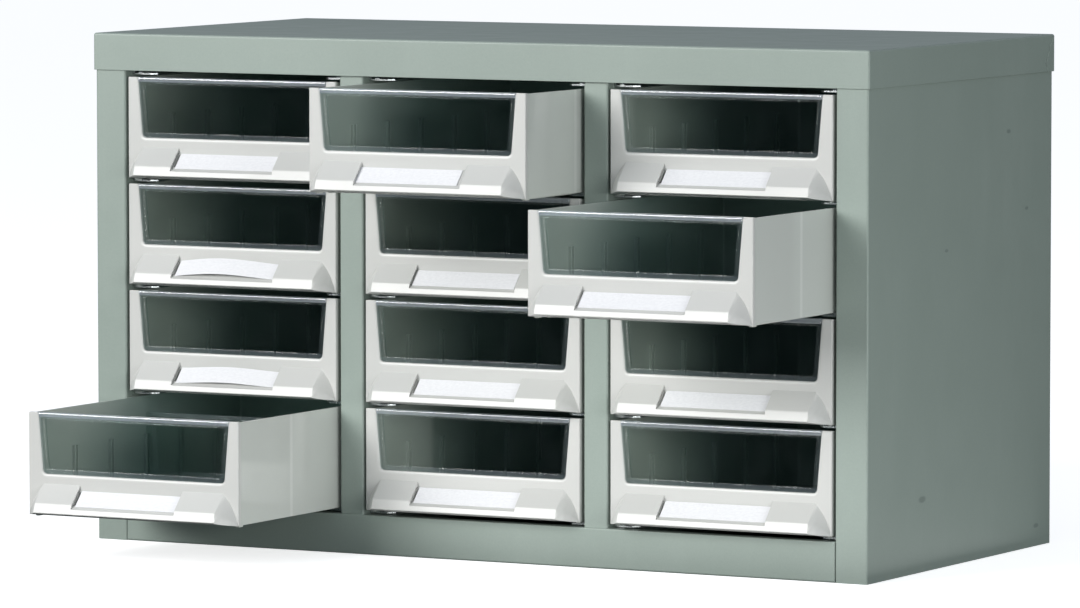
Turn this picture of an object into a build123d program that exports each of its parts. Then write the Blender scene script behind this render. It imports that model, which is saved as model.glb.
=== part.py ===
from build123d import *
import os

# Parts bin cabinet: a folded sheet-steel case with three columns of four
# moulded drawers.  Millimetres.  +X to the right, +Y to the back, +Z up.
# The origin is the centre of the case's footprint, on the surface it stands on.

# ---------------------------------------------------------------- case
CAP_W = 586.0            # top cover, outside width
CAP_D = 285.4            # top cover, outside depth
CASE_H = 345.4           # overall height
SHEET = 1.0              # sheet thickness
FLANGE_H = 25.1          # depth of the top cover's turned-down flange
OVERHANG = 1.2           # top cover beyond the side panels, each side
GAP = 0.2                # clearance between neighbouring sheets
BODY_X = CAP_W / 2 - OVERHANG          # outer face of the side panels
FRONT_Y = -(CAP_D / 2 - OVERHANG)      # front plane of the case
BACK_Y = CAP_D / 2 - OVERHANG          # rear plane of the case
SHEET_TOP = CASE_H - SHEET - GAP       # upright sheets stop under the cover
STILE_W = 23.3           # front return of each side panel
STILE_RETURN = 8.0       # depth of the stile's inward fold
REAR_RETURN = 14.0       # rear return of each side panel
RAIL_H = 26.7            # height of the front rail's top edge
RAIL_RETURN = 9.0        # fold behind the rail's top edge
REAR_RAIL_H = 20.0       # upturned rear edge of the bottom panel
PARTITION_X = 92.5       # centre of each partition
PARTITION_W = 18.0       # width of each partition
WALL_HALF = 83.5         # column centre to the column's side wall
BEND = 1.5               # outer bend radius
BEND_IN = 0.5            # inner bend radius

# ---------------------------------------------------------------- drawers
COLUMNS = {"left": -185.0, "middle": 0.0, "right": 185.0}
TOP_ROW_Z = 316.0        # top edge of the first row of drawers
PITCH = 72.5             # row spacing
PULLED = {(1, "middle"): 74.0, (2, "right"): 113.0, (4, "left"): 128.0}
FRONT_W = 162.3          # width of the drawer front
FRONT_H = 68.5           # height of the drawer front
FRONT_T = 3.0            # thickness of the drawer front
TRAY_W = 160.4           # outside width of the tray behind the front
TRAY_L = 272.0           # drawer front to the rear wall's outer face
WALL_T = 1.8             # tray wall thickness
FLOOR_T = 2.0            # tray floor thickness
SIDE_TOP = -0.5          # top of the tray sides, below the front's top edge
REAR_TOP = -7.0          # top of the tray's rear wall
WIN_TOP = 73.5           # half width of the window opening at its top
WIN_BOT = 70.0           # half width of the window opening at its sill
SILL = -41.0             # sill of the window opening
WIN_R = 3.0              # radius of the opening's lower corners
SLOTS = (53.0, 98.8, 144.6, 190.4, 236.2)    # divider slots, from the front
SLOT_TOP = -26.5         # top of the divider slots
RIB_W = 1.6
RIB_OUT = 2.0            # how far a rib stands out from the wall
SLOT_GAP = 2.4           # space between the two ribs of a slot
SKID_X = 72.5            # centre of each skid under the tray
SKID_W = 3.0
SKID_H = 1.3
STOP_Y = 215.0           # front face of the lug that stops the drawer when open
CLOSE_Y = 9.7            # rear face of the lug that stops it when closed
STOP_X = 77.4            # centre of the stop lug
HANDLE_TOP = -47.4       # where the sloping handle leaves the front
HANDLE_P1 = (-11.1, -59.4)   # top edge of the handle's lip (y, z)
HANDLE_P2 = (-13.2, -66.0)   # bottom edge of the handle's lip
HANDLE_X = 69.5          # half length of the handle's straight part
POCKET_X = (-41.0, 38.5)     # label recess, left and right ends
POCKET_DEEP = 2.4            # depth of the recess under the slope
POCKET_END = 16.5            # where its floor ends, along the slope
POCKET_SILL = (-12.05, -62.4)    # front edge of the ledge below the label (y, z)
UNDERCUT = 2.5               # how far the recess runs on under the pads
UNDERCUT_TOP = 1.3           # thickness of the pads over the undercut
EYE_W = 1.8                  # slit through the recess floor at each end
EYE_S = (3.6, 14.8)          # the slit, from and to along the slope
LABEL_X = (-38.9, 38.3)
LABEL_S = (3.1, 16.2)
LABEL_T = 0.35
# how far each card has slid to the left in its recess
LABEL_SHIFT = {
    (1, "middle"): 3.2,
    (2, "left"): 0.3,
    (2, "middle"): 1.4,
    (2, "right"): 1.0,
    (3, "right"): 0.2,
    (4, "left"): 0.3,
    (4, "middle"): 0.6,
    (4, "right"): 0.8,
}
DIVIDER_T = 1.6
DIVIDER_TOP = -11.8
DIVIDER_BOT = -54.2
DIVIDER_SLOT = 2         # which divider slot it stands in

# ---------------------------------------------------------------- runners
RUN_W = 17.5             # width of a runner's ledge
RUN_T = 1.4              # thickness of a runner
RUN_LEG = 12.0           # height of a runner's upright leg
RUN_FRONT = FRONT_Y + 10.0
RUN_BACK = BACK_Y - 6.0
RUN_ABOVE = 2.4          # ledge top above the top edge of the drawer below it
NIB_L = 2.5              # stop nib at the ledge's front end
NIB_H = 1.2


def block(x0, x1, y0, y1, z0, z1):
    return Pos((x0 + x1) / 2, (y0 + y1) / 2, (z0 + z1) / 2) * Box(
        abs(x1 - x0), abs(y1 - y0), abs(z1 - z0)
    )


def mirror_x(shape):
    return mirror(shape, Plane.YZ)


def prism_x(points, x0, x1):
    """A solid of one (y, z) outline, from x0 to x1."""
    face = make_face(Polyline(*[(x0, y, z) for y, z in points], close=True))
    return extrude(face, amount=x1 - x0, dir=(1, 0, 0))


def prism_y(points, y0, y1, radius=0.0, corners=()):
    """A solid of one (x, z) outline, from y0 to y1, with some corners rounded."""
    sketch = make_face(Polyline(*[(x, z) for x, z in points], close=True))
    if radius:
        pick = [
            v
            for v in sketch.vertices()
            if any(abs(v.X - a) < 1e-4 and abs(v.Y - b) < 1e-4 for a, b in corners)
        ]
        sketch = fillet(pick, radius)
    return Pos(0, y1, 0) * (Rot(90, 0, 0) * extrude(sketch, amount=y1 - y0))


def edges_at(shape, axis, **where):
    """Edges along one axis whose middle is at the given coordinates."""
    found = []
    for e in shape.edges().filter_by(axis):
        c = e.center()
        if all(abs(getattr(c, k) - v) < 0.05 for k, v in where.items()):
            found.append(e)
    return found


# ================================================================ the case
def top_cover():
    x, y = CAP_W / 2, CAP_D / 2
    z0 = CASE_H - FLANGE_H
    shell = block(-x, x, -y, y, z0, CASE_H)
    shell = fillet(shell.edges().filter_by(Axis.Z), 1.4)
    shell = fillet(shell.edges().group_by(Axis.Z)[-1], BEND)
    room = block(-x + SHEET, x - SHEET, -y + SHEET, y - SHEET, z0 - 1, CASE_H - SHEET)
    room = fillet(room.edges().filter_by(Axis.Z), 0.5)
    return shell - room


def side_panel():
    """The right-hand panel; the left-hand one is its mirror image."""
    x = BODY_X
    outline = block(x - SHEET, x, FRONT_Y, BACK_Y, 0, SHEET_TOP)
    outline += block(x - STILE_W, x, FRONT_Y, FRONT_Y + SHEET, 0, SHEET_TOP)
    outline += block(
        x - STILE_W, x - STILE_W + SHEET, FRONT_Y, FRONT_Y + STILE_RETURN, 0, SHEET_TOP
    )
    outline += block(x - REAR_RETURN, x, BACK_Y - SHEET, BACK_Y, 0, SHEET_TOP)
    outer = (
        edges_at(outline, Axis.Z, X=x, Y=FRONT_Y)
        + edges_at(outline, Axis.Z, X=x - STILE_W, Y=FRONT_Y)
        + edges_at(outline, Axis.Z, X=x, Y=BACK_Y)
    )
    outline = fillet(outer, BEND)
    inner = (
        edges_at(outline, Axis.Z, X=x - SHEET, Y=FRONT_Y + SHEET)
        + edges_at(outline, Axis.Z, X=x - STILE_W + SHEET, Y=FRONT_Y + SHEET)
        + edges_at(outline, Axis.Z, X=x - SHEET, Y=BACK_Y - SHEET)
    )
    outline = fillet(inner, BEND_IN)
    # foot flange that lies on the bottom panel
    outline += block(
        x - 20.0, x - SHEET + 0.05, FRONT_Y + 12.0, BACK_Y - 6.0, SHEET + GAP, 2 * SHEET + GAP
    )
    return outline


def bottom_panel():
    """Flat sheet with a rail folded up at the front and an edge folded up behind."""
    inner_x = BODY_X - STILE_W - GAP
    deep_x = BODY_X - SHEET - GAP
    p = block(-inner_x, inner_x, FRONT_Y, BACK_Y, 0, SHEET)
    p += block(-deep_x, deep_x, FRONT_Y + STILE_RETURN + GAP, BACK_Y - SHEET - 2 * GAP - SHEET, 0, SHEET)
    p += block(-inner_x, inner_x, FRONT_Y, FRONT_Y + SHEET, 0, RAIL_H)
    for c in COLUMNS.values():
        p += block(
            c - WALL_HALF + GAP,
            c + WALL_HALF - GAP,
            FRONT_Y,
            FRONT_Y + RAIL_RETURN,
            RAIL_H - SHEET,
            RAIL_H,
        )
    p += block(
        -BODY_X + REAR_RETURN + GAP,
        BODY_X - REAR_RETURN - GAP,
        BACK_Y - SHEET,
        BACK_Y,
        0,
        REAR_RAIL_H,
    )
    p = fillet(edges_at(p, Axis.X, Y=FRONT_Y, Z=0), BEND)
    return fillet(edges_at(p, Axis.X, Y=FRONT_Y, Z=RAIL_H), 0.8)


def back_panel():
    x = BODY_X - SHEET - GAP
    y1 = BACK_Y - SHEET - GAP
    p = block(-x, x, y1 - SHEET, y1, SHEET + GAP, SHEET_TOP)
    # shallow stiffening folds along the two upright edges
    for s in (-1, 1):
        p += block(s * x, s * (x - SHEET), y1 - 9.0, y1, SHEET * 3, SHEET_TOP)
    return p


def liner():
    """Inner wall of the right-hand column; the left-hand one is its mirror image."""
    x = BODY_X - STILE_W
    y0 = FRONT_Y + STILE_RETURN + GAP
    y1 = BACK_Y - 2 * SHEET - 2 * GAP
    z0 = SHEET + GAP
    p = block(x, x + SHEET, y0, y1, z0, SHEET_TOP)
    p += block(x, x + 11.0, y1 - SHEET, y1, 3 * SHEET, SHEET_TOP)
    return fillet(edges_at(p, Axis.Z, X=x, Y=y1), 1.0)


def partition():
    """U-shaped upright, open at the back, centred on X = 0."""
    h = PARTITION_W / 2
    y0 = FRONT_Y + SHEET + GAP
    y1 = BACK_Y - 2 * SHEET - 2 * GAP
    z0 = SHEET + GAP
    p = block(-h, h, y0, y0 + SHEET, z0, SHEET_TOP)
    p += block(-h, -h + SHEET, y0, y1, z0, SHEET_TOP)
    p += block(h - SHEET, h, y0, y1, z0, SHEET_TOP)
    p = fillet(edges_at(p, Axis.Z, X=-h, Y=y0) + edges_at(p, Axis.Z, X=h, Y=y0), BEND)
    inner = edges_at(p, Axis.Z, X=-h + SHEET, Y=y0 + SHEET) + edges_at(
        p, Axis.Z, X=h - SHEET, Y=y0 + SHEET
    )
    return fillet(inner, BEND_IN)


def runner(z_top):
    """One ledge on a column's right-hand wall, column centred on X = 0."""
    x1 = WALL_HALF - 0.1
    x0 = x1 - RUN_W
    z0 = z_top - RUN_T
    corner = 4.0
    ledge = Pos(0, 0, z0) * extrude(
        make_face(
            Polyline(
                (x1, RUN_FRONT),
                (x0 + corner, RUN_FRONT),
                (x0, RUN_FRONT + corner),
                (x0, RUN_BACK - corner),
                (x0 + corner, RUN_BACK),
                (x1, RUN_BACK),
                close=True,
            )
        ),
        amount=RUN_T,
    )
    leg = block(x1 - RUN_T, x1, RUN_FRONT, RUN_BACK, z0, z0 + RUN_LEG)
    nib = block(STOP_X - 1.6, STOP_X + 1.6, RUN_FRONT, RUN_FRONT + NIB_L, z_top - 0.2, z_top + NIB_H)
    return ledge + leg + nib


def runners(centre):
    """All ten ledges of one column, as separate solids."""
    out = []
    for level in range(5):
        z_top = TOP_ROW_Z + RUN_ABOVE - level * PITCH
        right = runner(z_top)
        out.append(Pos(centre, 0, 0) * right)
        out.append(Pos(centre, 0, 0) * mirror_x(right))
    return Compound(children=[s.solids()[0] for s in out])


# ================================================================ a drawer
# Drawer frame: x across from the middle, y back from the front face,
# z up from the top edge of the front (so the drawer hangs below z = 0).
def slope(s, depth):
    """(y, z) of a point s along the handle's slope and depth under it."""
    dy, dz = HANDLE_P1[0], HANDLE_P1[1] - HANDLE_TOP
    n = (dy * dy + dz * dz) ** 0.5
    dy, dz = dy / n, dz / n
    ny, nz = -dz, dy                  # points into the handle
    return (s * dy + depth * ny, HANDLE_TOP + s * dz + depth * nz)


def handle():
    outline = [(0.6, HANDLE_TOP), (0.0, HANDLE_TOP), HANDLE_P1, HANDLE_P2, (0.0, -FRONT_H), (0.6, -FRONT_H)]
    h = prism_x(outline, -HANDLE_X, HANDLE_X)

    def section(x, top, reach, lip_top, lip_bottom):
        pts = [(0.6, top), (0.0, top), (-0.84 * reach, lip_top), (-reach, lip_bottom), (0.0, -FRONT_H), (0.6, -FRONT_H)]
        return Wire(Polyline(*[(x, y, z) for y, z in pts], close=True).edges())

    stations = [
        (HANDLE_X, HANDLE_TOP, 13.2, -59.4, -66.0),
        (72.0, -50.6, 11.4, -60.6, -66.6),
        (74.6, -53.9, 8.6, -62.3, -67.2),
        (77.2, -58.4, 5.2, -64.3, -67.8),
        (79.2, -63.4, 2.2, -66.2, -68.2),
        (80.2, -67.0, 0.4, -67.6, -68.4),
    ]
    for a, b in zip(stations[:-1], stations[1:]):
        part = Solid.make_loft([section(*a), section(*b)], ruled=True)
        h += part
        h += mirror_x(part)
    # finger hollow under the slope
    a = slope(0.0, 4.2)
    k = (HANDLE_P1[1] - HANDLE_TOP) / HANDLE_P1[0]
    top_z = a[1] - a[0] * k
    reach = -9.3
    hollow = prism_x(
        [(0.0, top_z), (reach, top_z + reach * k), (reach - 1.6, -FRONT_H - 3), (0.0, -FRONT_H - 3)],
        -HANDLE_X + 2.5,
        HANDLE_X - 2.5,
    )
    h -= hollow
    # recess for the label card: the flat front runs on down behind it
    foot = slope(POCKET_END, POCKET_DEEP)
    start_z = slope(0.0, POCKET_DEEP)[1] - slope(0.0, POCKET_DEEP)[0] * k
    recess = prism_x(
        [(0.0, HANDLE_TOP + 3), (0.0, start_z), foot, POCKET_SILL, (-16.0, POCKET_SILL[1]), (-16.0, HANDLE_TOP + 3)],
        *POCKET_X,
    )
    # the card's ends slide under the pads
    under = prism_x(
        [slope(2.9, UNDERCUT_TOP), slope(2.9, POCKET_DEEP), foot, slope(POCKET_END, UNDERCUT_TOP)],
        POCKET_X[0] - UNDERCUT,
        POCKET_X[1] + UNDERCUT,
    )
    slit = [slope(EYE_S[0], 2.0), slope(EYE_S[1], 2.0), slope(EYE_S[1], 4.8), slope(5.0, 4.8)]
    eyes = prism_x(slit, POCKET_X[0], POCKET_X[0] + EYE_W) + prism_x(slit, POCKET_X[1] - EYE_W, POCKET_X[1])
    return h, (recess, under, eyes)


def tray():
    half = FRONT_W / 2
    window = prism_y(
        [(-WIN_TOP, 0), (-WIN_TOP, 2), (WIN_TOP, 2), (WIN_TOP, 0), (WIN_BOT, SILL), (-WIN_BOT, SILL)],
        -1.0,
        FRONT_T + 0.5,
        WIN_R,
        [(WIN_BOT, SILL), (-WIN_BOT, SILL)],
    )
    front = block(-half, half, 0, FRONT_T, -FRONT_H, 0)
    front = fillet(edges_at(front, Axis.Z, X=half, Y=0) + edges_at(front, Axis.Z, X=-half, Y=0), 0.8)
    t = TRAY_W / 2
    body = block(-t, t, FRONT_T - 1.0, TRAY_L, -FRONT_H, SIDE_TOP)
    body = fillet(edges_at(body, Axis.Z, X=t, Y=TRAY_L) + edges_at(body, Axis.Z, X=-t, Y=TRAY_L), 3.0)
    room = block(-t + WALL_T, t - WALL_T, FRONT_T, TRAY_L - WALL_T, -FRONT_H + FLOOR_T, 5)
    body -= room
    body -= block(-t + 8, t - 8, TRAY_L - WALL_T - 1, TRAY_L + 1, REAR_TOP, 5)
    grip, cuts = handle()
    whole = front + body + grip
    whole -= window
    for cut in cuts:
        whole -= cut
    # divider slots: two upright ribs each side
    for y in SLOTS:
        for s in (-1, 1):
            for g in (-1, 1):
                yc = y + g * (SLOT_GAP + RIB_W) / 2
                xa, xb = s * (t - WALL_T - RIB_OUT), s * (t - WALL_T + 0.3)
                whole += block(
                    min(xa, xb), max(xa, xb), yc - RIB_W / 2, yc + RIB_W / 2, -FRONT_H + FLOOR_T - 0.3, SLOT_TOP
                )
            # the slot is closed at its foot, where a divider's edge rests
            whole += block(
                min(xa, xb), max(xa, xb), y - SLOT_GAP / 2 - 0.2, y + SLOT_GAP / 2 + 0.2,
                -FRONT_H + FLOOR_T - 0.3, DIVIDER_BOT - 0.15,
            )
    # skids that slide on the runners, and the lugs that meet the runner's nib
    for s in (-1, 1):
        whole += block(
            s * SKID_X - SKID_W / 2, s * SKID_X + SKID_W / 2, 12.0, TRAY_L - 6, -FRONT_H - SKID_H, -FRONT_H + 0.3
        )
        for y0, y1 in ((STOP_Y, STOP_Y + 5.0), (CLOSE_Y - 5.0, CLOSE_Y)):
            whole += block(
                s * STOP_X - 1.4, s * STOP_X + 1.4, y0, y1, -FRONT_H - SKID_H, -FRONT_H + 0.3
            )
    return whole


def window_insert():
    """Clear front pane: a thick rim along the top, a raised border and a flange behind."""
    g = 0.15
    k = (WIN_TOP - WIN_BOT) / -SILL       # slope of the opening's sides

    def half_at(z, inset):
        return WIN_TOP + k * z - inset

    def outline(inset, z_top, z_bot):
        return [
            (-half_at(z_top, inset), z_top),
            (half_at(z_top, inset), z_top),
            (half_at(z_bot, inset), z_bot),
            (-half_at(z_bot, inset), z_bot),
        ]

    def plate(inset, z_top, z_bot, y0, y1, r):
        pts = outline(inset, z_top, z_bot)
        return prism_y(pts, y0, y1, r, pts[2:])

    pane = plate(g, -0.2, SILL + g, 0.35, FRONT_T + 0.4, WIN_R - 0.1)
    pane += plate(-2.6, -0.2, SILL - 2.6, FRONT_T + 0.15, FRONT_T + 1.5, WIN_R + 2.0)
    pane += plate(g, 0.0, -3.3, -0.3, FRONT_T + 1.5, 0.8)
    # the pane itself is thinner than its border, dished from both sides
    pane -= plate(3.2, -3.4, SILL + 3.2, -1.0, 1.1, 2.2)
    pane -= plate(3.2, -3.4, SILL + 3.2, 2.6, FRONT_T + 3.0, 2.2)
    return pane


def label_card(shift):
    corners = [
        slope(LABEL_S[0], POCKET_DEEP - 0.08),
        slope(LABEL_S[1], POCKET_DEEP - 0.08),
        slope(LABEL_S[1], POCKET_DEEP - 0.08 - LABEL_T),
        slope(LABEL_S[0], POCKET_DEEP - 0.08 - LABEL_T),
    ]
    return prism_x(corners, LABEL_X[0] - shift, LABEL_X[1] - shift)


def divider():
    """Clear cross divider: a thin plate whose edges stand in a pair of slots,
    with a raised border that narrows downwards on both faces."""
    x = TRAY_W / 2 - WALL_T - 0.4
    y = SLOTS[DIVIDER_SLOT]
    pts = [(-x, DIVIDER_TOP), (x, DIVIDER_TOP), (x, DIVIDER_BOT), (-x, DIVIDER_BOT)]
    plate = prism_y(pts, y - DIVIDER_T / 2, y + DIVIDER_T / 2, 2.0, pts[:2])

    def frame(top, bot, z_top, z_bot, y0, y1, r):
        pts = [(-top, z_top), (top, z_top), (bot, z_bot), (-bot, z_bot)]
        return prism_y(pts, y0, y1, r, pts[2:])

    t = DIVIDER_T / 2
    border = frame(74.6, 71.4, DIVIDER_TOP, DIVIDER_BOT, y - t - 0.8, y + t + 0.8, 3.4)
    border -= frame(71.2, 68.4, DIVIDER_TOP - 2.8, DIVIDER_BOT + 2.6, y - t - 2, y + t + 2, 2.4)
    plate += border
    return plate


# ================================================================ write
nodes = {}
nodes["top_cover"] = top_cover()
nodes["right_side_panel"] = side_panel()
nodes["left_side_panel"] = mirror_x(nodes["right_side_panel"])
nodes["bottom_panel"] = bottom_panel()
nodes["back_panel"] = back_panel()
nodes["right_liner"] = liner()
nodes["left_liner"] = mirror_x(nodes["right_liner"])
upright = partition()
nodes["left_partition"] = Pos(-PARTITION_X, 0, 0) * upright
nodes["right_partition"] = Pos(PARTITION_X, 0, 0) * upright
for name, centre in COLUMNS.items():
    nodes[f"runners_{name}_column"] = runners(centre)

one_tray = tray()
one_window = window_insert()
for row in range(1, 5):
    for name, centre in COLUMNS.items():
        out = PULLED.get((row, name), 0.0)
        place = Pos(centre, FRONT_Y - out, TOP_ROW_Z - (row - 1) * PITCH)
        nodes[f"tray_row{row}_{name}"] = place * one_tray
        nodes[f"window_row{row}_{name}"] = place * one_window
        nodes[f"label_row{row}_{name}"] = place * label_card(LABEL_SHIFT.get((row, name), 0.0))
        if (row, name) == (4, "left"):
            nodes[f"divider_row{row}_{name}"] = place * divider()

os.makedirs("parts", exist_ok=True)
for name, shape in nodes.items():
    shape.label = name
    export_step(shape, f"parts/{name}.step")
    print(name, len(shape.solids()), round(shape.volume, 1))
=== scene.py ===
import math

import bmesh
import bpy
from mathutils import Matrix, Vector


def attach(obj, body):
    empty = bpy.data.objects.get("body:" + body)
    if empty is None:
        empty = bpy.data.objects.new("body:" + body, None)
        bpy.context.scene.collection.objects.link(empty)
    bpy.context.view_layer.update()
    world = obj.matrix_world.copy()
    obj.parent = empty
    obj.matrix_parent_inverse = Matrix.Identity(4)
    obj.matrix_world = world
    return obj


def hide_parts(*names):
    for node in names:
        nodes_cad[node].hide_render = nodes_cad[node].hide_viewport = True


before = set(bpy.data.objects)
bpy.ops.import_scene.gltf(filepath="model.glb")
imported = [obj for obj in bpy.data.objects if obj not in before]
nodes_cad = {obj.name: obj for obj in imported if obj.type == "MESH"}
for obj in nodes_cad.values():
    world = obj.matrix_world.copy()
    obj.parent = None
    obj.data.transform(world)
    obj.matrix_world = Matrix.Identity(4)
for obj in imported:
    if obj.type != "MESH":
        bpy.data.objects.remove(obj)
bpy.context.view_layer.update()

# Parts bin cabinet.  Lengths in this script are millimetres unless a name says
# otherwise; meshes are scaled to metres when they are finished.
MM = 0.001
COLUMNS = {"left": -185.0, "middle": 0.0, "right": 185.0}
TOP_ROW_Z = 316.0
PITCH = 72.5
FRONT_Y = -141.5
PULLED = {(1, "middle"): 74.0, (2, "right"): 113.0, (4, "left"): 128.0}
LABEL_SHIFT = {
    (1, "middle"): 3.2,
    (2, "left"): 0.3,
    (2, "middle"): 1.4,
    (2, "right"): 1.0,
    (3, "right"): 0.2,
    (4, "left"): 0.3,
    (4, "middle"): 0.6,
    (4, "right"): 0.8,
}
# cards that have sprung out of their recess: height, and where along the card
BOWED = {(2, "left"): (4.3, 0.46, 1.25), (3, "left"): (2.9, 0.50, 1.5)}

scene = bpy.context.scene


def place_of(row, column):
    return Vector((COLUMNS[column], FRONT_Y - PULLED.get((row, column), 0.0), TOP_ROW_Z - (row - 1) * PITCH))


# ================================================================ camera
def make_camera():
    yaw, pitch, roll = math.radians(28.508), math.radians(4.465), math.radians(-0.03)
    back = Vector((math.sin(yaw) * math.cos(pitch), -math.cos(yaw) * math.cos(pitch), math.sin(pitch)))
    right = Vector((math.cos(yaw), math.sin(yaw), 0.0))
    up = back.cross(right)
    r = math.cos(roll) * right + math.sin(roll) * up
    u = -math.sin(roll) * right + math.cos(roll) * up
    data = bpy.data.cameras.new("camera")
    data.sensor_fit = "HORIZONTAL"
    data.sensor_width = 36.0
    data.lens = 7454.15 / 1080.0 * 36.0
    data.clip_start, data.clip_end = 0.1, 200.0
    cam = bpy.data.objects.new("camera", data)
    scene.collection.objects.link(cam)
    m = Matrix((r, u, back)).transposed().to_4x4()
    m.translation = Vector((2.38927, -4.44572, 0.55564))
    cam.matrix_world = m
    scene.camera = cam
    return cam


make_camera()


# ================================================================ materials
class Shader:
    """A small helper that builds one node tree."""

    def __init__(self, name):
        self.mat = bpy.data.materials.new(name)
        self.mat.use_nodes = True
        self.tree = self.mat.node_tree
        self.tree.nodes.clear()
        self.out = self.tree.nodes.new("ShaderNodeOutputMaterial")

    def add(self, kind, inputs=None, **props):
        n = self.tree.nodes.new(kind)
        for k, v in props.items():
            setattr(n, k, v)
        for k, v in (inputs or {}).items():
            self.put(n.inputs[k], v)
        return n

    def put(self, socket, value):
        if isinstance(value, bpy.types.NodeSocket):
            self.tree.links.new(value, socket)
        else:
            socket.default_value = value

    def math(self, op, a, b=0.0, c=None, clamp=False):
        n = self.add("ShaderNodeMath", operation=op, use_clamp=clamp)
        self.put(n.inputs[0], a)
        self.put(n.inputs[1], b)
        if c is not None:
            self.put(n.inputs[2], c)
        return n.outputs[0]

    def noise(self, vector, scale, detail=2.0, rough=0.5, distortion=0.0):
        n = self.add(
            "ShaderNodeTexNoise",
            {"Vector": vector, "Scale": scale, "Detail": detail, "Roughness": rough, "Distortion": distortion},
        )
        return n.outputs["Fac"]

    def remap(self, value, lo, hi, to_lo, to_hi):
        n = self.add("ShaderNodeMapRange", {"Value": value, "From Min": lo, "From Max": hi, "To Min": to_lo, "To Max": to_hi})
        n.clamp = True
        return n.outputs["Result"]

    def colour(self, fac, a, b, blend="MIX"):
        n = self.add("ShaderNodeMix", data_type="RGBA", blend_type=blend)
        self.put(n.inputs["Factor"], fac)
        self.put(n.inputs["A"], a if isinstance(a, bpy.types.NodeSocket) else (*a, 1.0))
        self.put(n.inputs["B"], b if isinstance(b, bpy.types.NodeSocket) else (*b, 1.0))
        return n.outputs["Result"]

    def stretched(self, vector, scale):
        n = self.add("ShaderNodeMapping", {"Vector": vector})
        n.inputs["Scale"].default_value = scale
        return n.outputs["Vector"]

    def bump(self, height, distance, strength=1.0, normal=None):
        n = self.add("ShaderNodeBump", {"Height": height})
        n.inputs["Distance"].default_value = distance
        n.inputs["Strength"].default_value = strength
        if normal is not None:
            self.put(n.inputs["Normal"], normal)
        return n.outputs["Normal"]

    def coords(self):
        return self.add("ShaderNodeTexCoord").outputs["Object"]

    def principled(self, **inputs):
        n = self.add("ShaderNodeBsdfPrincipled")
        for k, v in inputs.items():
            self.put(n.inputs[k.replace("_", " ")], v)
        self.tree.links.new(n.outputs["BSDF"], self.out.inputs["Surface"])
        return n


def paint_material():
    """Satin grey-green stoving enamel on sheet steel."""
    s = Shader("case_enamel")
    p = s.coords()
    cloud = s.noise(p, 5.0, 3.0, 0.55)
    fleck = s.noise(p, 950.0, 2.0, 0.6)
    base = s.colour(s.remap(cloud, 0.3, 0.7, 0.0, 1.0), (0.278, 0.334, 0.300), (0.300, 0.356, 0.322))
    base = s.colour(s.remap(fleck, 0.25, 0.75, 0.0, 0.30), base, (0.228, 0.284, 0.252))
    # a light film of dust and handling, broken up by soft streaks
    streak = s.noise(s.stretched(p, (9.0, 9.0, 2.2)), 4.0, 5.0, 0.6)
    base = s.colour(s.remap(streak, 0.52, 0.80, 0.0, 0.22), base, (0.345, 0.405, 0.372))
    # small chips and knocks on the right-hand side
    marks = None
    for i, (x, y, z, r) in enumerate(
        [
            (0.2918, -0.060, 0.048, 0.0030),
            (0.2918, 0.072, 0.283, 0.0019),
            (0.2918, 0.101, 0.230, 0.0016),
            (0.2918, -0.024, 0.209, 0.0015),
            (0.2918, 0.118, 0.014, 0.0022),
            (-0.2918, 0.031, 0.118, 0.0021),
            (-0.2918, -0.082, 0.262, 0.0016),
            (0.118, 0.1415, 0.207, 0.0020),
        ]
    ):
        off = s.add("ShaderNodeVectorMath", operation="SUBTRACT")
        s.put(off.inputs[0], p)
        off.inputs[1].default_value = (x, y, z)
        sq = s.add("ShaderNodeVectorMath", operation="MULTIPLY")
        s.put(sq.inputs[0], off.outputs[0])
        sq.inputs[1].default_value = (1.0, 0.62, 1.5)
        d = s.add("ShaderNodeVectorMath", operation="LENGTH")
        s.put(d.inputs[0], sq.outputs[0])
        wob = s.math("ADD", d.outputs["Value"], s.math("MULTIPLY", s.noise(p, 700.0, 2.0), 0.0016))
        m = s.remap(wob, r * 0.75 + 0.0008, r * 1.35 + 0.0008, 1.0, 0.0)
        marks = m if marks is None else s.math("MAXIMUM", marks, m)
    base = s.colour(s.math("MULTIPLY", marks, 0.42), base, (0.085, 0.110, 0.098))
    rough = s.remap(s.noise(p, 38.0, 4.0, 0.6), 0.3, 0.7, 0.34, 0.46)
    peel = s.noise(p, 520.0, 2.0, 0.5)
    wave = s.noise(p, 7.0, 1.0, 0.4)
    n = s.bump(wave, 0.0011, 0.55)
    n = s.bump(peel, 0.00006, 0.55, n)
    n = s.bump(marks, 0.0006, -0.6, n)
    s.principled(Base_Color=base, Roughness=rough, Normal=n, IOR=1.5)
    return s.mat


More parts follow.
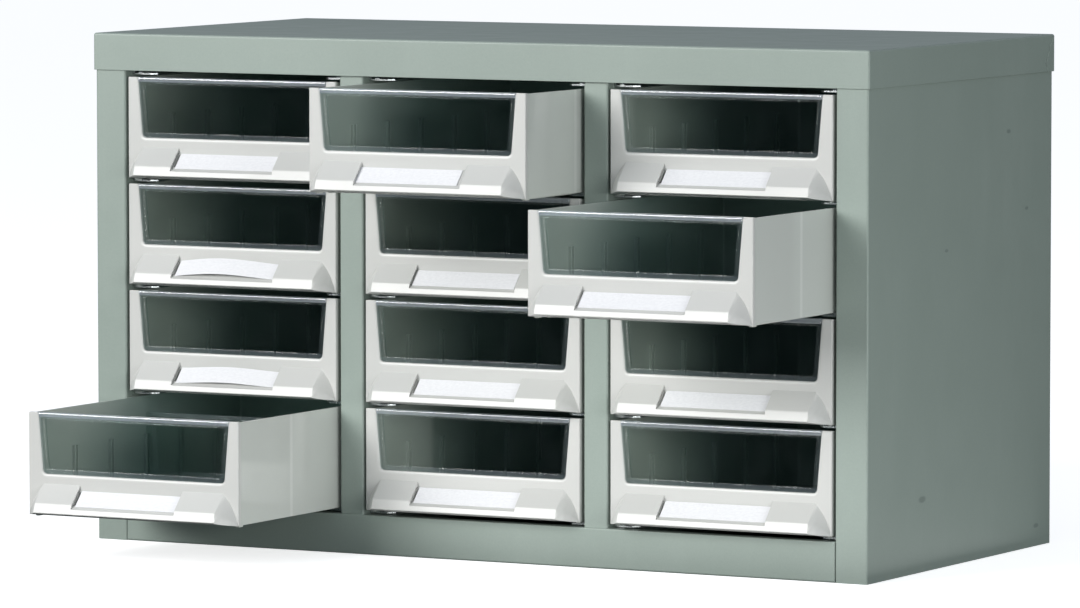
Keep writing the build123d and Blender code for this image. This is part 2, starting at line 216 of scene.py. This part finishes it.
def plastic_material():
    """Light grey polystyrene, moulded, fairly glossy with rubbed patches."""
    s = Shader("drawer_moulding")
    p = s.coords()
    rand = s.add("ShaderNodeObjectInfo").outputs["Random"]
    shift = s.add("ShaderNodeVectorMath", operation="ADD")
    s.put(shift.inputs[0], p)
    s.put(shift.inputs[1], s.math("MULTIPLY", rand, 7.0))
    q = shift.outputs[0]
    cloud = s.noise(q, 9.0, 3.0, 0.5)
    base = s.colour(s.remap(cloud, 0.3, 0.7, 0.0, 1.0), (0.556, 0.562, 0.545), (0.590, 0.592, 0.574))
    # the tray behind the front: a shade greener outside; inside it, painted shade that grows darker and greener
    # deeper into the cabinet
    along = s.add("ShaderNodeSeparateXYZ", {"Vector": p})
    y = along.outputs["Y"]
    behind = s.remap(y, 0.0028, 0.0032, 0.0, 1.0)
    outside = s.colour(s.remap(cloud, 0.3, 0.7, 0.0, 1.0), (0.585, 0.615, 0.580), (0.620, 0.648, 0.612))
    # a faint upright mould line on each outer side; its lighter stripe is a painted highlight along the line
    line = s.math("ABSOLUTE", s.math("SUBTRACT", y, 0.0700))
    line = s.math("MULTIPLY", s.remap(line, 0.0010, 0.0022, 0.75, 0.0), s.math("GREATER_THAN", s.math("ABSOLUTE", along.outputs["X"]), 0.0792))
    outside = s.colour(line, outside, (0.725, 0.745, 0.715))
    base = s.colour(behind, base, outside)
    within = s.math("LESS_THAN", s.math("ABSOLUTE", along.outputs["X"]), 0.0790)
    within = s.math("MULTIPLY", within, s.math("GREATER_THAN", along.outputs["Z"], -0.0673))
    within = s.math("MULTIPLY", within, s.math("LESS_THAN", y, 0.2708))
    within = s.math("MULTIPLY", within, behind)
    # painted shade inside the tray: light near the front, dark green-grey deeper in where little light reaches
    painted_interior_shade = s.colour(s.remap(y, 0.05, 0.15, 0.0, 1.0), (0.52, 0.55, 0.51), (0.265, 0.355, 0.33))
    base = s.colour(within, base, painted_interior_shade)
    grain = s.noise(q, 1300.0, 2.0, 0.5)
    base = s.colour(s.remap(grain, 0.3, 0.75, 0.0, 0.10), base, (0.48, 0.49, 0.475))
    # fine scuffs where the drawers slide and hands take hold
    scuff = s.noise(s.stretched(q, (60.0, 5.0, 60.0)), 6.0, 4.0, 0.7)
    scuffs = s.remap(scuff, 0.60, 0.74, 0.0, 1.0)
    base = s.colour(s.math("MULTIPLY", scuffs, 0.05), base, (0.70, 0.71, 0.70))
    smudge = s.noise(q, 22.0, 4.0, 0.6)
    rough = s.math("ADD", s.remap(smudge, 0.35, 0.7, 0.29, 0.36), s.math("MULTIPLY", scuffs, 0.05))
    rough = s.math("MULTIPLY", rough, s.remap(behind, 0.0, 1.0, 1.0, 0.32))
    n = s.bump(s.noise(q, 900.0, 2.0, 0.5), 0.00002, 0.5)
    n = s.bump(s.noise(q, 16.0, 1.0, 0.4), 0.0005, 0.35, n)
    s.principled(Base_Color=base, Roughness=rough, Normal=n, IOR=1.52)
    return s.mat


def clear_material():
    """Clear polystyrene: glossy, faintly green, with a painted highlight in the thick top rim."""
    s = Shader("clear_moulding")
    p = s.coords()
    fine = s.noise(s.stretched(p, (9.0, 30.0, 30.0)), 11.0, 3.0, 0.6)
    scratches = s.remap(fine, 0.70, 0.78, 0.0, 1.0)
    haze = s.remap(s.noise(p, 30.0, 4.0, 0.6), 0.45, 0.85, 0.0, 1.0)
    place = s.add("ShaderNodeSeparateXYZ", {"Vector": p})
    side, depth, height = s.math("ABSOLUTE", place.outputs["X"]), place.outputs["Y"], place.outputs["Z"]
    # the thick top rim: a whitish diffuse film there is a painted highlight, and the rim lets less light through
    rim = s.remap(height, -0.0037, -0.0031, 0.0, 1.0)
    # painted highlight along the thick border of the pane and the raised frame of the divider
    edge = s.math("SUBTRACT", side, s.math("MULTIPLY_ADD", height, 0.0854, 0.0702))
    pane_border = s.math("MAXIMUM", s.remap(edge, 0.0, 0.0004, 0.0, 0.5), s.remap(height, -0.0382, -0.0378, 1.0, 0.0))
    inner = s.math("SUBTRACT", side, s.math("MULTIPLY_ADD", height, 0.0757, 0.0723))
    frame_side = s.math("MULTIPLY", s.remap(inner, 0.0, 0.0003, 0.0, 1.0), s.remap(inner, 0.0031, 0.0034, 1.0, 0.0))
    frame_ends = s.math("MAXIMUM", s.remap(height, -0.0518, -0.0515, 1.0, 0.0), s.remap(height, -0.0148, -0.0145, 0.0, 1.0))
    at_back = s.math("GREATER_THAN", depth, 0.05)
    border_highlight = s.math("MAXIMUM", frame_side, frame_ends)
    border_highlight = s.math("ADD", s.math("MULTIPLY", border_highlight, at_back), s.math("MULTIPLY", pane_border, s.math("SUBTRACT", 1.0, at_back)))
    n = s.bump(s.noise(p, 24.0, 1.0, 0.4), 0.0004, 0.3)
    glass = s.add("ShaderNodeBsdfTransparent")
    s.put(glass.inputs["Color"], s.colour(rim, (0.925, 0.958, 0.945), (0.80, 0.87, 0.90)))
    gloss = s.add("ShaderNodeBsdfGlossy", {"Normal": n, "Roughness": s.remap(haze, 0.0, 1.0, 0.03, 0.08)})
    gloss.inputs["Color"].default_value = (1.0, 1.0, 1.0, 1.0)
    fres = s.add("ShaderNodeFresnel", {"Normal": n})
    # the same weak reflection on the way out of the sheet as on the way in
    inner_side = s.add("ShaderNodeNewGeometry").outputs["Backfacing"]
    s.put(fres.inputs["IOR"], s.remap(inner_side, 0.0, 1.0, 1.58, 1.0 / 1.58))
    clear = s.add("ShaderNodeMixShader", {"Fac": s.math("ADD", s.math("MULTIPLY", fres.outputs[0], 0.9), s.math("MULTIPLY", rim, 0.07), clamp=True)})
    s.put(clear.inputs[1], glass.outputs[0])
    s.put(clear.inputs[2], gloss.outputs[0])
    # a faint diffuse film: real haze and scratches, plus the painted highlights on the rim and borders
    haze_and_painted_highlight = s.add("ShaderNodeBsdfDiffuse")
    s.put(haze_and_painted_highlight.inputs["Color"], s.colour(rim, (0.50, 0.58, 0.64), (0.80, 0.84, 0.90)))
    amount = s.math("ADD", s.math("MULTIPLY", haze, 0.006), s.math("MULTIPLY", scratches, 0.010))
    # painted highlight: a light film on the pane's border and the divider's frame
    amount = s.math("ADD", amount, s.math("MULTIPLY", border_highlight, 0.055))
    # painted highlight: a whitish film along the thick top rim
    amount = s.math("ADD", amount, s.math("MULTIPLY", rim, 0.16), clamp=True)
    mixed = s.add("ShaderNodeMixShader", {"Fac": amount})
    s.put(mixed.inputs[1], clear.outputs[0])
    s.put(mixed.inputs[2], haze_and_painted_highlight.outputs[0])
    s.tree.links.new(mixed.outputs[0], s.out.inputs["Surface"])
    return s.mat


def steel_material():
    """Zinc-plated strip with drawn lines along the runner."""
    s = Shader("runner_zinc")
    p = s.coords()
    lines = s.noise(s.stretched(p, (900.0, 12.0, 900.0)), 1.0, 3.0, 0.6)
    spangle = s.add("ShaderNodeTexVoronoi", {"Vector": p, "Scale": 160.0}, feature="F1").outputs["Distance"]
    base = s.colour(s.remap(lines, 0.3, 0.7, 0.0, 1.0), (0.50, 0.53, 0.53), (0.66, 0.69, 0.69))
    base = s.colour(s.remap(spangle, 0.1, 0.7, 0.0, 0.35), base, (0.40, 0.43, 0.44))
    rough = s.remap(lines, 0.3, 0.7, 0.24, 0.40)
    n = s.bump(lines, 0.00004, 0.5)
    s.principled(Base_Color=base, Roughness=rough, Metallic=1.0, Normal=n)
    return s.mat


def paper_material():
    """Matt white card with a faint fibre."""
    s = Shader("label_card")
    p = s.coords()
    fibre = s.noise(s.stretched(p, (400.0, 900.0, 900.0)), 1.0, 4.0, 0.65)
    base = s.colour(s.remap(fibre, 0.3, 0.7, 0.0, 1.0), (0.73, 0.735, 0.76), (0.81, 0.815, 0.835))
    n = s.bump(fibre, 0.00003, 0.5)
    s.principled(Base_Color=base, Roughness=0.72, Normal=n, IOR=1.45)
    return s.mat


PAINT = paint_material()
PLASTIC = plastic_material()
CLEAR = clear_material()
STEEL = steel_material()
PAPER = paper_material()


# ================================================================ mesh code
def recovered(node, shift=(0.0, 0.0, 0.0)):
    """A node's surface with its corners joined and its flat faces whole, in mm."""
    bm = bmesh.new()
    bm.from_mesh(nodes_cad[node].data)
    bmesh.ops.transform(bm, matrix=Matrix.Translation(Vector(shift)) @ Matrix.Scale(1000.0, 4), verts=bm.verts)
    bmesh.ops.remove_doubles(bm, verts=bm.verts, dist=0.003)
    bmesh.ops.dissolve_degenerate(bm, dist=0.003, edges=bm.edges)
    bmesh.ops.dissolve_limit(
        bm, angle_limit=math.radians(0.5), use_dissolve_boundaries=False, verts=bm.verts, edges=bm.edges
    )
    bmesh.ops.recalc_face_normals(bm, faces=bm.faces)
    return bm


def edge_widths(bm, width_of, least_angle=18.0):
    """Bevel width of each sharp edge: width_of(middle, angle, hollow, edge) in mm."""
    widths = {}
    for e in bm.edges:
        if len(e.link_faces) != 2:
            continue
        a = math.degrees(e.calc_face_angle(0.0))
        if a < least_angle:
            continue
        hollow = not e.is_convex
        w = width_of((e.verts[0].co + e.verts[1].co) / 2, a, hollow, e)
        if w > 0:
            widths[e] = w
    return widths


def finish_mesh(bm, name, width_of=None, segments=2, least_angle=18.0, material=None, reshape=None):
    """Rounds the edges, weights the normals and scales to metres."""
    top = 1.0
    if width_of is not None:
        layer = bm.edges.layers.float.new("bevel_weight_edge")
        widths = edge_widths(bm, width_of, least_angle)
        top = max(widths.values(), default=0.0)
        for e, w in widths.items():
            e[layer] = w / top
    for f in bm.faces:
        f.smooth = True
    mesh = bpy.data.meshes.new(name + "_raw")
    bm.to_mesh(mesh)
    bm.free()
    ob = bpy.data.objects.new(name + "_raw", mesh)
    scene.collection.objects.link(ob)
    if width_of is not None and top > 0:
        b = ob.modifiers.new("round", "BEVEL")
        b.limit_method = "WEIGHT"
        b.width = top
        b.segments = segments
        b.use_clamp_overlap = False
        b.miter_outer = "MITER_SHARP"
        b.harden_normals = False
    dg = bpy.context.evaluated_depsgraph_get()
    rounded = bpy.data.meshes.new_from_object(ob.evaluated_get(dg))
    bpy.data.objects.remove(ob)
    bpy.data.meshes.remove(mesh)
    bm = bmesh.new()
    bm.from_mesh(rounded)
    bmesh.ops.remove_doubles(bm, verts=bm.verts, dist=0.002)
    if reshape is not None:
        for v in bm.verts:
            reshape(v.co)
    for e in bm.edges:
        e.smooth = len(e.link_faces) == 2 and e.calc_face_angle(0.0) < math.radians(50.0)
    bm.to_mesh(rounded)
    bm.free()
    ob = bpy.data.objects.new(name + "_rounded", rounded)
    scene.collection.objects.link(ob)
    w = ob.modifiers.new("normals", "WEIGHTED_NORMAL")
    w.keep_sharp = True
    dg = bpy.context.evaluated_depsgraph_get()
    done = bpy.data.meshes.new_from_object(ob.evaluated_get(dg))
    done.name = name
    bpy.data.objects.remove(ob)
    bpy.data.meshes.remove(rounded)
    done.transform(Matrix.Scale(MM, 4))
    done.materials.clear()
    if material is not None:
        done.materials.append(material)
    return done


def piece(name, mesh, body, node, location=(0.0, 0.0, 0.0)):
    ob = bpy.data.objects.new(name, mesh)
    ob.location = Vector(location) * MM
    scene.collection.objects.link(ob)
    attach(ob, body)
    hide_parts(node)
    return ob


def cut(bm, points, axis_from, axis_to):
    """Takes a prism out of bm: points are (y, z), the prism runs along x."""
    c = bmesh.new()
    a = [c.verts.new((axis_from, y, z)) for y, z in points]
    b = [c.verts.new((axis_to, y, z)) for y, z in points]
    c.faces.new(a)
    c.faces.new(list(reversed(b)))
    for i in range(len(points)):
        j = (i + 1) % len(points)
        c.faces.new((a[j], a[i], b[i], b[j]))
    bmesh.ops.recalc_face_normals(c, faces=c.faces)
    meshes, obs = [], []
    for source, label in ((bm, "cut_a"), (c, "cut_b")):
        m = bpy.data.meshes.new(label)
        source.to_mesh(m)
        o = bpy.data.objects.new(label, m)
        scene.collection.objects.link(o)
        meshes.append(m)
        obs.append(o)
    c.free()
    mod = obs[0].modifiers.new("cut", "BOOLEAN")
    mod.operation = "DIFFERENCE"
    mod.solver = "EXACT"
    mod.object = obs[1]
    dg = bpy.context.evaluated_depsgraph_get()
    done = bpy.data.meshes.new_from_object(obs[0].evaluated_get(dg))
    bm.clear()
    bm.from_mesh(done)
    for o in obs:
        bpy.data.objects.remove(o)
    for m in [*meshes, done]:
        bpy.data.meshes.remove(m)
    return bm


# ---------------------------------------------------------------- the case
def sheet_edges(mid, angle, hollow, edge):
    if hollow:
        return 0.0
    # thin strips between the rail's ledges, and the liners' folds at the back
    if abs(mid.z - 26.7) < 0.1 and mid.y < -140.3:
        return 0.0
    if 268.0 < abs(mid.x) < 280.0 and -132.0 < mid.y < 139.2:
        return 0.0
    return 0.22


def make_case():
    made = {}
    for node in (
        "top_cover",
        "right_side_panel",
        "left_side_panel",
        "bottom_panel",
        "back_panel",
        "right_liner",
        "left_liner",
        "left_partition",
        "right_partition",
    ):
        bm = recovered(node)
        if node == "top_cover":
            # folded corner tabs at the two rear corners of the cover
            for side in (1, -1):
                x0, x1 = (292.55, 294.0) if side > 0 else (-294.0, -292.55)
                bm = cut(bm, [(138.9, 343.6), (139.4, 343.5), (129.0, 326.2), (128.5, 326.5)], x0, x1)
                bm = cut(bm, [(128.5, 326.6), (129.0, 326.5), (132.1, 320.0), (131.6, 320.0)], x0, x1)
        mesh = finish_mesh(bm, node + "_sheet", sheet_edges, segments=2, least_angle=40.0, material=PAINT)
        made[node] = piece(node + "_painted", mesh, "cabinet", node)
    for column in COLUMNS:
        node = f"runners_{column}_column"
        bm = recovered(node)
        mesh = finish_mesh(bm, node + "_strip", lambda m, a, h, e: 0.0 if h else 0.25, segments=2, least_angle=40.0, material=STEEL)
        made[node] = piece(node + "_zinc", mesh, "cabinet", node)
    return made


# ---------------------------------------------------------------- a drawer
def smooth_step(t):
    t = min(1.0, max(0.0, t))
    return t * t * (3 - 2 * t)


def tray_edges(mid, angle, hollow, edge):
    x, y, z = abs(mid.x), mid.y, mid.z
    # skids and lugs, and the outline of the tray's underside
    if z < -68.2 and y > -1.0:
        return 0.0 if hollow else (0.25 if z < -68.7 else 0.3)
    # window opening: its front edge, then its rear edge
    if y < 0.05 and z > -43.5 and x < 74.5 and z < -0.05 and not hollow:
        return 2.2
    if 2.9 < y < 3.1 and z > -43.5 and x < 74.5:
        return 0.3
    # hollow root of the pads
    if hollow and abs(z + 47.4) < 0.4 and abs(y) < 0.1:
        return 0.6
    # label recess and its end slits: only the outer corners
    if x < 43.8 and -12.6 < y < 0.5 and -64 < z < -47.0:
        on_pad = abs((-47.4 - z) * 11.1 + y * 12.0) < 3.0
        return 0.0 if hollow or on_pad else 0.15
    # pad to lip, and the lip's lower edge
    if abs(z + 59.4) < 0.3 and y < -10.5:
        return 0.7
    if abs(z + 66.0) < 0.4 and y < -12.5:
        return 0.6
    # flared ends
    if x > 69.0 and y < 0.3 and z < -47.0:
        return 0.0
    if hollow:
        # upright corners at the back of the tray
        upright = abs(edge.verts[0].co.z - edge.verts[1].co.z) > 30.0
        return 1.6 if upright and y > 268.0 and x > 76.0 else 0.0
    if z > -0.6:
        return 0.45
    return 0.28


def shallow_sill(co):
    """Turns the round edge of the opening into a shallow, leaning one."""
    if 1e-4 < co.y < 2.3 and -43.6 < co.z < -0.4 and abs(co.x) < 76.2:
        co.y *= 0.36


def rim_edges(mid, angle, hollow, edge):
    x, y, z = abs(mid.x), mid.y, mid.z
    if hollow:
        return 0.28 if x < 71.5 and z < -4.0 and y < 3.0 else 0.0
    if z > -3.5 and x < 73.6 and y < 0.0:
        return 1.25 if z > -0.05 and abs(edge.verts[0].co.x - edge.verts[1].co.x) > 20.0 else 0.65
    if z > -0.05 and y > 4.0:
        return 0.9
    if x > 73.0 and z > -4.0:
        return 0.0
    return 0.3


def label_mesh(shift, bow):
    """The card: a thin sheet on the recess floor, sprung outwards if bow is given."""
    n = math.hypot(11.1, 12.0)
    dy, dz = -11.1 / n, -12.0 / n
    ny, nz = -dz, dy
    x0, x1 = -38.9 - shift, 38.3 - shift
    s0, s1, deep, t = 3.1, 16.2, 2.32, 0.32
    nx, ns = (96, 10)
    bm = bmesh.new()
    grids = []
    for layer in (0, 1):
        rows = []
        for i in range(nx + 1):
            u = i / nx
            x = x0 + (x1 - x0) * u
            h, slope_x = 0.0, 0.0
            curl = 0.10 * math.sin(2.1 * u + 0.6)
            if bow is not None:
                height, peak, power = bow
                v = u ** (math.log(0.5) / math.log(peak))
                h = height * math.sin(math.pi * v) ** power
            line = []
            for j in range(ns + 1):
                w = j / ns
                s = s0 + (s1 - s0) * w
                lift = h * (1.0 - 0.10 * w) + (0.0 if bow is None else 0.12 * math.sin(math.pi * w) * math.sin(math.pi * u))
                d = deep - layer * t - lift
                line.append(bm.verts.new((x, s * dy + d * ny, -47.4 + s * dz + d * nz)))
            rows.append(line)
        grids.append(rows)
    lo, hi = grids
    for i in range(nx):
        for j in range(ns):
            bm.faces.new((hi[i][j], hi[i][j + 1], hi[i + 1][j + 1], hi[i + 1][j]))
            bm.faces.new((lo[i][j], lo[i + 1][j], lo[i + 1][j + 1], lo[i][j + 1]))
    for i in range(nx):
        bm.faces.new((lo[i][0], hi[i][0], hi[i + 1][0], lo[i + 1][0]))
        bm.faces.new((lo[i + 1][ns], hi[i + 1][ns], hi[i][ns], lo[i][ns]))
    for j in range(ns):
        bm.faces.new((lo[0][j + 1], hi[0][j + 1], hi[0][j], lo[0][j]))
        bm.faces.new((lo[nx][j], hi[nx][j], hi[nx][j + 1], lo[nx][j + 1]))
    bmesh.ops.recalc_face_normals(bm, faces=bm.faces)
    return finish_mesh(bm, "label_card", lambda m, a, h, e: 0.08, segments=1, least_angle=60.0, material=PAPER)


def make_drawers():
    base = place_of(1, "left")
    tray = finish_mesh(recovered("tray_row1_left", -base), "drawer_tray", tray_edges, segments=4, material=PLASTIC, reshape=shallow_sill)
    pane = recovered("window_row1_left", -base)
    for v in pane.verts:
        # room for the rounding between the rim, the dished faces and the flange
        if abs(v.co.z + 3.4) < 0.03:
            v.co.z = -4.5
        elif abs(v.co.z + 0.2) < 0.03 and abs(v.co.x) > 74.0:
            v.co.z = -1.4
    window = finish_mesh(pane, "drawer_window", rim_edges, segments=4, material=CLEAR)
    for row in range(1, 5):
        for column in COLUMNS:
            body, tail, at = f"drawer_row{row}_{column}", f"row{row}_{column}", place_of(row, column)
            piece(f"tray_moulding_{tail}", tray, body, f"tray_{tail}", at)
            piece(f"window_pane_{tail}", window, body, f"window_{tail}", at)
            card = label_mesh(LABEL_SHIFT.get((row, column), 0.0), BOWED.get((row, column)))
            piece(f"label_slip_{tail}", card, body, f"label_{tail}", at)
    at = place_of(4, "left")
    divider = finish_mesh(recovered("divider_row4_left", -at), "drawer_divider", lambda m, a, h, e: 0.32, segments=3, material=CLEAR)
    piece("divider_plate_row4_left", divider, "drawer_row4_left", "divider_row4_left", at)


make_case()
make_drawers()


# ================================================================ the studio
def make_studio():
    bm = bmesh.new()
    bmesh.ops.create_grid(bm, x_segments=2, y_segments=2, size=60.0)
    mesh = bpy.data.meshes.new("floor")
    bm.to_mesh(mesh)
    bm.free()
    floor = bpy.data.objects.new("floor", mesh)
    scene.collection.objects.link(floor)
    s = Shader("floor_pale")
    b = s.principled(Base_Color=(0.80, 0.81, 0.82, 1.0), Roughness=0.9)
    b.inputs["Specular IOR Level"].default_value = 0.0
    b.inputs["Emission Color"].default_value = (1.0, 1.0, 1.0, 1.0)
    b.inputs["Emission Strength"].default_value = 0.72
    mesh.materials.append(s.mat)
    floor.visible_diffuse = False
    floor.visible_glossy = False

    world = bpy.data.worlds.new("studio")
    scene.world = world
    world.use_nodes = True
    t = world.node_tree
    t.nodes.clear()
    out = t.nodes.new("ShaderNodeOutputWorld")
    bg = t.nodes.new("ShaderNodeBackground")
    ramp = t.nodes.new("ShaderNodeValToRGB")
    sep = t.nodes.new("ShaderNodeSeparateXYZ")
    tc = t.nodes.new("ShaderNodeTexCoord")
    half = t.nodes.new("ShaderNodeMath")
    half.operation = "MULTIPLY_ADD"
    half.inputs[1].default_value = 0.5
    half.inputs[2].default_value = 0.5
    t.links.new(tc.outputs["Generated"], sep.inputs[0])
    t.links.new(sep.outputs["Z"], half.inputs[0])
    t.links.new(half.outputs[0], ramp.inputs[0])
    e = ramp.color_ramp.elements
    e[0].position, e[0].color = 0.0, (0.10, 0.11, 0.11, 1)
    e[1].position, e[1].color = 1.0, (0.34, 0.365, 0.41, 1)
    for position, colour in (
        (0.34, (0.070, 0.080, 0.080, 1)),
        (0.44, (0.016, 0.030, 0.032, 1)),
        (0.49, (0.016, 0.030, 0.032, 1)),
        (0.53, (0.215, 0.240, 0.270, 1)),
    ):
        e.new(position).color = colour
    t.links.new(ramp.outputs[0], bg.inputs["Color"])
    t.links.new(bg.outputs[0], out.inputs["Surface"])

    def soft_box(name, azimuth, elevation, distance, width, height, power, colour=(1.0, 1.0, 1.0), aim=(0.0, -0.14, 0.17)):
        a, e = math.radians(azimuth), math.radians(elevation)
        back = Vector((math.sin(a) * math.cos(e), -math.cos(a) * math.cos(e), math.sin(e)))
        data = bpy.data.lights.new(name, "AREA")
        data.shape = "RECTANGLE"
        data.size, data.size_y = width, height
        data.energy = power
        data.color = colour
        ob = bpy.data.objects.new(name, data)
        scene.collection.objects.link(ob)
        ob.location = Vector(aim) + back * distance
        ob.rotation_mode = "QUATERNION"
        ob.rotation_quaternion = (-back).to_track_quat("-Z", "Y")
        return ob

    def table_glow(name, x0, x1, y0, y1, radiance):
        """Light thrown back up by the pale table close to the cabinet."""
        data = bpy.data.lights.new(name, "AREA")
        data.shape = "RECTANGLE"
        data.size, data.size_y = x1 - x0, y1 - y0
        data.energy = math.pi * (x1 - x0) * (y1 - y0) * radiance
        ob = bpy.data.objects.new(name, data)
        scene.collection.objects.link(ob)
        ob.location = ((x0 + x1) / 2, (y0 + y1) / 2, 0.004)
        ob.rotation_euler = (math.pi, 0.0, 0.0)
        ob.visible_camera = False

    soft_box("key_box", -30.0, 21.0, 2.6, 1.6, 1.15, 67.0, (1.0, 0.995, 0.98))
    soft_box("low_box", 60.0, 5.0, 3.2, 1.3, 0.7, 31.0, (0.99, 1.0, 0.985))
    soft_box("fill_box", 80.0, 12.0, 3.2, 2.0, 1.4, 5.0, (0.97, 1.0, 0.99))
    table_glow("glow_front", -0.08, 0.80, -0.55, -0.17, 0.85)
    table_glow("glow_side", 0.30, 0.72, -0.16, 0.12, 0.4)


make_studio()

scene.view_settings.view_transform = "Standard"
scene.view_settings.look = "None"
scene.view_settings.exposure = 0.0
scene.view_settings.gamma = 1.0
scene.cycles.use_denoising = True
scene.cycles.max_bounces = 12
scene.cycles.diffuse_bounces = 4
scene.cycles.transparent_max_bounces = 32
